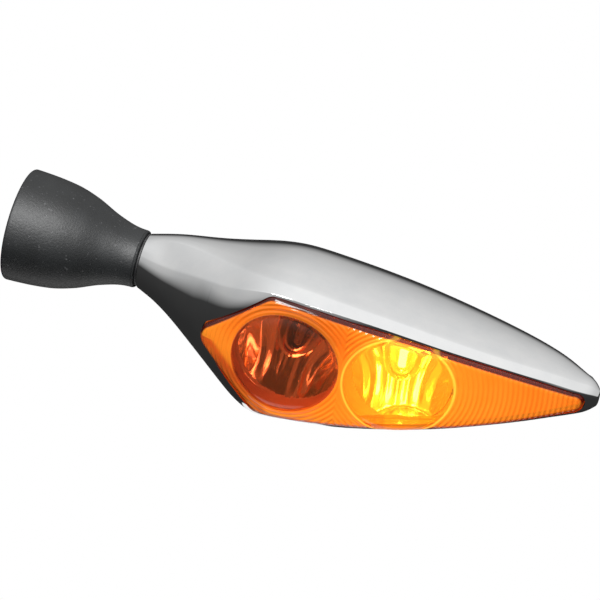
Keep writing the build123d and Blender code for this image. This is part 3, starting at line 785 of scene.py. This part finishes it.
def lens_material():
    """Clear amber plastic: ribbed around the windows, smooth and paler in them, with painted shade on its rim
    and near the unlit window and a painted glow from the lit signal lamp.
    """
    nodes = Nodes("amber_lens_painted_light")
    separate = nodes.add("ShaderNodeSeparateXYZ")
    nodes.link(nodes.coordinates(), separate.inputs[0])
    x, z = separate.outputs["X"], separate.outputs["Z"]

    def distance(centre_x, centre_z=0.0):
        dx = nodes.math("SUBTRACT", x, centre_x * MM)
        dz = nodes.math("SUBTRACT", z, centre_z * MM)
        squares = nodes.math("ADD", nodes.math("MULTIPLY", dx, dx), nodes.math("MULTIPLY", dz, dz))
        return nodes.math("SQRT", squares)

    inner, outer = distance(EYES["position"]), distance(EYES["signal"])
    near = nodes.math("MINIMUM", inner, outer)
    eye_edge = ((EYE_RADIUS - EYE_SOFTNESS) * MM, (EYE_RADIUS + EYE_SOFTNESS) * MM)
    window = nodes.remap(near, 1, 0, *eye_edge, smooth=True)

    def depth(radius):
        dx = nodes.math("SUBTRACT", x, FRONT_CREST_X * MM)
        dy = nodes.math("SUBTRACT", separate.outputs["Y"], (FRONT_CREST_Y + radius) * MM)
        squares = nodes.math("ADD", nodes.math("MULTIPLY", dx, dx), nodes.math("MULTIPLY", dy, dy))
        return nodes.math("SUBTRACT", (radius + LENS_PROUD) * MM, nodes.math("SQRT", squares))

    tipward = nodes.math("GREATER_THAN", x, FRONT_CREST_X * MM)
    far = nodes.math("MULTIPLY", depth(FRONT_RADIUS), tipward)
    close = nodes.math("MULTIPLY", depth(NECK_SIDE_RADIUS), nodes.math("SUBTRACT", 1.0, tipward))
    sag = nodes.remap(x, EDGE_SAG / MM, 0, SAG_START * MM, SAG_END * MM, smooth=True)
    bowed = nodes.math("MULTIPLY", sag, nodes.math("MULTIPLY", z, z))
    below_face = nodes.math("SUBTRACT", nodes.math("ADD", far, close), bowed)
    outside = nodes.remap(below_face, 1, 0, 1.6 * MM, 1.9 * MM, smooth=True)
    flank = nodes.remap(below_face, 0, 1, 0.05 * MM, 0.25 * MM, smooth=True)
    flank = nodes.math("MULTIPLY", flank, outside)
    wave = nodes.math("SINE", nodes.math("MULTIPLY", near, 2 * HALF_TURN / (RIB_PITCH * MM)))
    plain = nodes.math("SUBTRACT", 1.0, nodes.math("MAXIMUM", window, flank))
    rib = nodes.math("MULTIPLY", nodes.remap(wave, 0, 1, -1, 1), plain)
    nodes.bump(rib, 0.55, 0.00022)

    inner_window = nodes.remap(inner, 1, 0, *eye_edge, smooth=True)
    outer_window = nodes.remap(outer, 1, 0, *eye_edge, smooth=True)
    cloud = nodes.noise(180, 2, 0.5)
    field = nodes.ramp(cloud, [(0.3, (1.0, 0.32, 0.022)), (0.7, (1.0, 0.37, 0.032))])
    # Painted shade: the field around the unlit position window turns darker red, more so towards the top.
    upper_red_shade = nodes.remap(inner, 0.6, 0, 10 * MM, 19 * MM, smooth=True)
    upper_red_shade = nodes.math("MULTIPLY", upper_red_shade, nodes.remap(z, 0.25, 1, 0, 7 * MM))
    field = nodes.mix(upper_red_shade, field, (0.9, 0.13, 0.012))
    colour = nodes.mix(inner_window, field, (0.76, 0.28, 0.14))
    # Painted light: the lit signal window is tinted pale yellow by its lamp.
    colour = nodes.mix(outer_window, colour, (1.0, 0.62, 0.12))

    # Painted shade on the lens rim: near black on the upper flank, deep red on the lower flank and in bands
    # along the lower left edge and the lower long edge.
    upper = nodes.math("MULTIPLY", flank, nodes.remap(z, 0, 1, -0.4 * MM, 0.4 * MM))
    lower = nodes.math("SUBTRACT", flank, upper)
    below = nodes.math("LESS_THAN", z, 0.0)
    slope = nodes.math("MULTIPLY", nodes.math("SUBTRACT", x, OUTLINE[0, 0] * MM), 0.674)
    inside = nodes.math("ADD", slope, nodes.math("MULTIPLY", z, 0.738))
    left_edge_shade = nodes.remap(inside, 1, 0, 1.2 * MM, 2.4 * MM, smooth=True)
    edge_centre, edge_radius = LONG_EDGE
    from_centre = distance(edge_centre[0], -edge_centre[1])
    long_edge_shade = nodes.remap(from_centre, 0, 1, (edge_radius - 1.0) * MM, (edge_radius - 0.5) * MM, smooth=True)
    lower_edge_shade = nodes.math("MULTIPLY", nodes.math("MAXIMUM", left_edge_shade, long_edge_shade), below)
    lower_edge_shade = nodes.math("MULTIPLY", lower_edge_shade, nodes.remap(cloud, 0.75, 1.0, 0.4, 0.6))
    clear = nodes.math("MAXIMUM", inner_window, outer_window)
    lower_edge_shade = nodes.math("MULTIPLY", lower_edge_shade, nodes.math("SUBTRACT", 1.0, clear))
    lower = nodes.math("MAXIMUM", lower, lower_edge_shade)
    # Deep red painted shade on the lower flank and bands, near black painted shade on the upper flank.
    colour = nodes.mix(lower, colour, (0.78, 0.13, 0.02))
    colour = nodes.mix(upper, colour, (0.035, 0.005, 0.004))
    # Painted light: the lens is no lamp, yet it glows orange. The glow is strongest near the lit signal
    # window and fades over the ribbed field, with painted glints on the rib crests. A weaker even glow covers
    # the field, and all of it is held back where shade is painted.
    painted_glow_fall = nodes.remap(outer, 1, 0, 6 * MM, 34 * MM)
    glow = nodes.math("POWER", painted_glow_fall, 1.6)
    glow = nodes.math("MULTIPLY", glow, nodes.math("SUBTRACT", 1.0, inner_window))
    glow = nodes.math("MULTIPLY", glow, nodes.math("SUBTRACT", 1.0, flank))
    painted_rib_glints = nodes.remap(rib, 0.7, 1.15)
    strength = nodes.math("MULTIPLY", nodes.math("MULTIPLY", glow, painted_rib_glints), 0.2)
    painted_field_glow = nodes.math("SUBTRACT", 1.0, nodes.math("MAXIMUM", inner_window, flank))
    strength = nodes.math("ADD", strength, nodes.math("MULTIPLY", painted_field_glow, 0.2))
    shaded = nodes.math("MAXIMUM", nodes.math("MULTIPLY", lower, 0.8), upper_red_shade)
    strength = nodes.math("MULTIPLY", strength, nodes.math("SUBTRACT", 1.0, shaded))
    # Painted light: a yellow glowing ring round the signal window.
    off_ring = nodes.math("ABSOLUTE", nodes.math("SUBTRACT", outer, EYE_RADIUS * MM))
    ring = nodes.math("MULTIPLY", nodes.remap(off_ring, 1, 0, 0.08 * MM, 0.36 * MM, smooth=True), outside)
    strength = nodes.math("ADD", strength, nodes.math("MULTIPLY", ring, 0.35))
    nodes.set(
        Base_Color=colour,
        Roughness=nodes.remap(cloud, 0.02, 0.05),
        IOR=1.49,
        Transmission_Weight=nodes.remap(clear, 0.55, 0.97),
        Specular_IOR_Level=nodes.remap(clear, 0.5, 0.12),
        Emission_Color=nodes.mix(ring, (1.0, 0.27, 0.014), (1.0, 0.68, 0.06)),
        Emission_Strength=strength,
    )
    return nodes.material


# ---- reflector behind the lens ----
def painted_glow_reflector(name, lit):
    """Vacuum-metallised plastic with a trace of orange peel and a painted orange glow of strength lit; the
    bowl of the unlit position lamp glows too.
    """
    nodes = Nodes(name)
    peel = nodes.noise(900, 3, 0.5)
    nodes.set(
        Base_Color=nodes.ramp(peel, [(0.3, (0.86, 0.86, 0.87)), (0.7, (0.94, 0.94, 0.94))]),
        Metallic=1.0,
        Roughness=nodes.remap(peel, 0.05, 0.12),
        # Painted glow: the bowl is no lamp.
        Emission_Color=(1.0, 0.5, 0.05),
        Emission_Strength=nodes.remap(peel, 0.8 * lit, 1.2 * lit),
    )
    nodes.bump(peel, 0.2, 0.00005)
    return nodes.material


def plate_material():
    """The reflector's flat field: bright satin, so that the amber in front of it looks full."""
    nodes = Nodes("metallised_field")
    peel = nodes.noise(700, 3, 0.5)
    nodes.set(
        Base_Color=nodes.ramp(peel, [(0.3, (0.9, 0.9, 0.9)), (0.7, (0.97, 0.97, 0.97))]),
        Metallic=0.25,
        Roughness=nodes.remap(peel, 0.35, 0.5),
    )
    nodes.bump(peel, 0.2, 0.00005)
    return nodes.material


def bowl_points(centre_x):
    """A reflector bowl with vertical flutes, cut off where the lens outline comes closer."""
    centre, facing = eye_frame(centre_x)
    side = np.array([math.cos(math.asin(facing[0])), math.sin(math.asin(facing[0])), 0.0])
    up = np.array([0.0, 0.0, 1.0])
    rows, around = 30, 144
    limit = inset_outline(SKIRT_WALL + 0.35)
    points = []
    for i in range(rows):
        share = i / (rows - 1)
        radius = BOWL_RADIUS + (BOWL_HOLE - BOWL_RADIUS) * share
        depth = BOWL_START + (BOWL_END - BOWL_START) * math.sin(share * HALF_TURN / 2) ** 0.9
        for k in range(around):
            angle = 2 * HALF_TURN * k / around
            a, b = radius * math.cos(angle), radius * math.sin(angle)
            flute = FLUTE_DEPTH * math.sin(share * HALF_TURN) * abs(math.sin(a * HALF_TURN / FLUTE_PITCH))
            point = centre - facing * (depth - flute) + side * a + up * b
            top = float(np.interp(point[0], limit[:, 0], limit[:, 1]))
            point[2] = max(-top, min(top, point[2]))
            points.append(point)
    return points, grid_faces(rows, around, close_columns=True)


def make_reflector():
    """Two metallised bowls in a satin field that follows the lens."""
    # Both bowls glow with painted light, the position bowl too though its lamp is off.
    finishes = {
        "position": painted_glow_reflector("metallised", 0.04),
        "signal": painted_glow_reflector("metallised_lit", 0.07),
    }
    for lamp, centre_x in EYES.items():
        points, faces = bowl_points(centre_x)
        bowl = add_mesh(f"{lamp}_bowl", points, faces, "head", finishes[lamp])
    sheet = lens_sheet([(0.0, 0.0)], SKIRT_WALL + 0.3, BOWL_START, None)
    rows, count = sheet.shape[:2]
    points = sheet.reshape(-1, 3)
    radii = np.minimum(eye_distance(points[:, 0], points[:, 2], EYES["position"]),
                       eye_distance(points[:, 0], points[:, 2], EYES["signal"]))
    hole = radii < BOWL_RADIUS - 0.25
    faces = [f for f in grid_faces(rows, count) if not all(hole[list(f)])]
    field = add_mesh("reflector_field", points, faces, "head", plate_material())
    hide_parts("reflector")


# ---- bulbs ----
def glass(name, tint, lit=0.0):
    """Thin bulb glass with a faint draw grain, filled with light where its lamp is on."""
    nodes = Nodes(name)
    grain = nodes.noise(300, 2, 0.5)
    nodes.set(
        Base_Color=nodes.ramp(grain, [(0.3, tint), (0.7, tuple(min(1, c * 1.03) for c in tint))]),
        Roughness=nodes.remap(grain, 0.0, 0.02),
        IOR=1.47,
        Transmission_Weight=1.0,
        Emission_Color=(1.0, 0.66, 0.1),
        Emission_Strength=nodes.remap(grain, 0.8 * lit, 1.2 * lit),
    )
    return nodes.material


def glow(name, colour, strength):
    """A glowing surface, a little uneven."""
    nodes = Nodes(name)
    cloud = nodes.noise(900, 2, 0.5)
    nodes.set(
        Base_Color=nodes.ramp(cloud, [(0.3, (0.8, 0.6, 0.3)), (0.7, (0.9, 0.7, 0.4))]),
        Emission_Color=colour,
        Emission_Strength=nodes.remap(cloud, strength * 0.85, strength * 1.15),
    )
    return nodes.material


def make_bulb(lamp, centre_x, glass_material, wire_material, coil_material):
    """A wedge bulb: envelope, pinch, supports and coil."""
    centre, facing = eye_frame(centre_x)
    dome = np.linspace(0.02, HALF_TURN / 2, 16)
    envelope = [(-BULB_TIP - BULB_RADIUS * (1 - math.cos(a)), BULB_RADIUS * math.sin(a)) for a in dome]
    envelope += [(-BULB_SHOULDER + 1.2, BULB_RADIUS), (-BULB_SHOULDER + 0.3, BULB_RADIUS * 0.8)]
    envelope += [(-BULB_SHOULDER, 1.6)]
    inside = []
    for k, (along, radius) in enumerate(envelope):
        inwards = -BULB_WALL if k < len(dome) else BULB_WALL
        inside.append((along + inwards, max(radius - BULB_WALL, 0.02)))
    profile = envelope + inside[::-1]
    bulb = lathe(f"{lamp}_bulb_envelope", profile, centre, facing, "head", glass_material, 64)
    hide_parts(f"{lamp}_bulb_glass")

    count = COIL_TURNS * COIL_STEPS
    path = []
    for k in range(count + 1):
        angle = 2 * HALF_TURN * k / COIL_STEPS
        z = -COIL_HALF + 2 * COIL_HALF * k / count
        path.append((COIL_RADIUS * math.cos(angle), COIL_RADIUS * math.sin(angle) - COIL_DEPTH, z))
    side = np.array([-facing[1], facing[0], 0.0])

    def place(p):
        return np.array(centre) + side * p[0] + np.array(facing) * p[1] + np.array([0, 0, p[2]])

    coil = tube(f"{lamp}_coil", [place(p) for p in path], COIL_WIRE, coil_material, "head", 6)
    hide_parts(f"{lamp}_bulb_filament")
    for sign, label in ((-1, "lower"), (1, "upper")):
        route = [(0, -BULB_SHOULDER + 0.2, sign * 1.0), (0, -11.0, sign * 1.25)]
        route += [(0, -COIL_DEPTH - 0.2, sign * COIL_HALF)]
        points = [place(p) for p in route]
        leg = tube(f"{lamp}_support_{label}", points, SUPPORT_WIRE, wire_material, "head", 8)


def tube(name, points, radius, material, body, sides=10):
    """A round wire along points."""
    points = np.array(points, float)
    tangents = np.gradient(points, axis=0)
    tangents /= np.linalg.norm(tangents, axis=1)[:, None]
    normal = Vector(tangents[0]).orthogonal().normalized()
    rings = []
    for point, tangent in zip(points, tangents):
        t = Vector(tangent)
        normal = (normal - t * normal.dot(t)).normalized()
        other = t.cross(normal)
        for k in range(sides):
            angle = 2 * HALF_TURN * k / sides
            rings.append(Vector(point) + (normal * math.cos(angle) + other * math.sin(angle)) * radius)
    faces = grid_faces(len(points), sides, close_columns=True, flip=True)
    faces += [tuple(range(sides)), tuple(range(len(rings) - 1, len(rings) - sides - 1, -1))]
    return add_mesh(name, rings, faces, body, material)


make_lens()
make_reflector()
clear_glass = glass("bulb_glass", (0.97, 0.97, 0.97))
tungsten = metal("support_wire", (0.3, 0.29, 0.28), (0.45, 0.44, 0.43), (0.2, 0.35), 900)
make_bulb("position", EYES["position"], clear_glass, tungsten, tungsten)
lit_glass = glass("lit_bulb_glass", (0.98, 0.95, 0.85), 0.5)
make_bulb("signal", EYES["signal"], lit_glass, tungsten, glow("lit_coil", (1.0, 0.72, 0.25), 18.0))

for node_name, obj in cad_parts.items():
    if obj.hide_render:
        continue
    wire = WIRE_COLOURS.get("ground_lead" if node_name == "ground_jumper" else node_name)
    if wire:
        material = plastic(f"{node_name}_insulation", *wire, (0.2, 0.35), 900)
    elif "contacts" in node_name or "lug" in node_name:
        material = BRASS
    elif "screw" in node_name and "seal" not in node_name:
        material = STEEL
    elif "holder" in node_name or "sleeve" in node_name:
        material = HOLDER
    else:
        material = SEAL
    obj.data.materials.clear()
    obj.data.materials.append(material)


# ---- studio ----
# Brightness of the surroundings by height, from straight down (-1) to straight up (1).
SURROUNDINGS = [(-1.0, 0.02), (-0.1, 0.04), (0.15, 0.45), (1.0, 1.0)]
VIEW_ANGLES = (12.0, 32.0, 9.84)  # azimuth from the front, elevation and roll, in degrees
VIEW_DISTANCE = 900.0
VIEW_WIDTH = 109.73  # width of the view at the part
VIEW_CENTRE = (58.0, -6.0, 0.0)
VIEW_SHIFT = (-1.006, 4.673)  # from there, to the right and up in the view


def make_floor():
    """A pale floor well below the lamp, which is held up by its stem."""
    nodes = Nodes("floor")
    cloud = nodes.noise(6, 3, 0.5)
    tone = nodes.ramp(cloud, [(0.3, (0.78, 0.78, 0.78)), (0.7, (0.84, 0.84, 0.84))])
    nodes.set(Base_Color=tone, Roughness=0.75)
    angles = np.linspace(0, 2 * HALF_TURN, 97)[:-1]
    radius, drop = 200.0, -420.0
    points = [(56 + radius * math.cos(a), radius * math.sin(a), drop) for a in angles]
    floor = add_mesh("floor", points, [tuple(range(len(points)))], None, nodes.material, smooth=False)


def make_world():
    """Plain soft surroundings that grow lighter with height, before a white backdrop."""
    world = bpy.data.worlds.new("studio")
    bpy.context.scene.world = world
    world.use_nodes = True
    tree = world.node_tree
    tree.nodes.clear()
    direction = tree.nodes.new("ShaderNodeTexCoord")
    split = tree.nodes.new("ShaderNodeSeparateXYZ")
    tree.links.new(direction.outputs["Generated"], split.inputs[0])
    height = tree.nodes.new("ShaderNodeMapRange")
    low, high = SURROUNDINGS[0][0], SURROUNDINGS[-1][0]
    height.inputs["From Min"].default_value = low
    height.inputs["From Max"].default_value = high
    tree.links.new(split.outputs["Z"], height.inputs["Value"])
    ramp = tree.nodes.new("ShaderNodeValToRGB")
    tree.links.new(height.outputs["Result"], ramp.inputs["Fac"])
    while len(ramp.color_ramp.elements) < len(SURROUNDINGS):
        ramp.color_ramp.elements.new(0.5)
    for element, (level, tone) in zip(ramp.color_ramp.elements, SURROUNDINGS):
        element.position = (level - low) / (high - low)
        element.color = (tone, tone, tone, 1)
    backdrop = tree.nodes.new("ShaderNodeMix")
    backdrop.data_type = "RGBA"
    tree.links.new(tree.nodes.new("ShaderNodeLightPath").outputs["Is Camera Ray"], backdrop.inputs[0])
    tree.links.new(ramp.outputs["Color"], backdrop.inputs[6])
    backdrop.inputs[7].default_value = (1, 1, 1, 1)
    background = tree.nodes.new("ShaderNodeBackground")
    tree.links.new(backdrop.outputs[2], background.inputs["Color"])
    output = tree.nodes.new("ShaderNodeOutputWorld")
    tree.links.new(background.outputs[0], output.inputs["Surface"])


def add_area_light(name, place, target, size, energy):
    """A square soft light that faces a point."""
    light = bpy.data.lights.new(name, "AREA")
    light.shape = "RECTANGLE"
    light.size, light.size_y = size[0] * MM, size[1] * MM
    light.energy = energy
    obj = bpy.data.objects.new(name, light)
    obj.location = Vector(place) * MM
    obj.rotation_euler = (Vector(target) - Vector(place)).to_track_quat("-Z", "Y").to_euler()
    bpy.context.collection.objects.link(obj)


def make_camera():
    """Long lens, high in front and a little to the tip's side, turned so that the stem drops to the right."""
    azimuth, elevation, roll = (math.radians(a) for a in VIEW_ANGLES)
    level = math.cos(elevation)
    back = Vector((math.sin(azimuth) * level, -math.cos(azimuth) * level, math.sin(elevation)))
    right = Vector((math.cos(azimuth), math.sin(azimuth), 0))
    up = back.cross(right)
    image_right = right * math.cos(roll) + up * math.sin(roll)
    image_up = up * math.cos(roll) - right * math.sin(roll)
    target = Vector(VIEW_CENTRE) + image_right * VIEW_SHIFT[0] + image_up * VIEW_SHIFT[1]
    data = bpy.data.cameras.new("camera")
    data.sensor_width = 36.0
    data.lens = data.sensor_width * VIEW_DISTANCE / VIEW_WIDTH
    data.clip_start, data.clip_end = 0.01, 20
    camera = bpy.data.objects.new("camera", data)
    camera.matrix_world = Matrix.Translation((target + back * VIEW_DISTANCE) * MM) @ Matrix(
        (image_right, image_up, back)
    ).transposed().to_4x4()
    bpy.context.collection.objects.link(camera)
    bpy.context.scene.camera = camera


make_floor()
make_world()
add_area_light("key", (-40, -260, 330), (50, -5, 0), (240, 240), 3.0)
make_camera()
bpy.context.scene.view_settings.view_transform = "Standard"
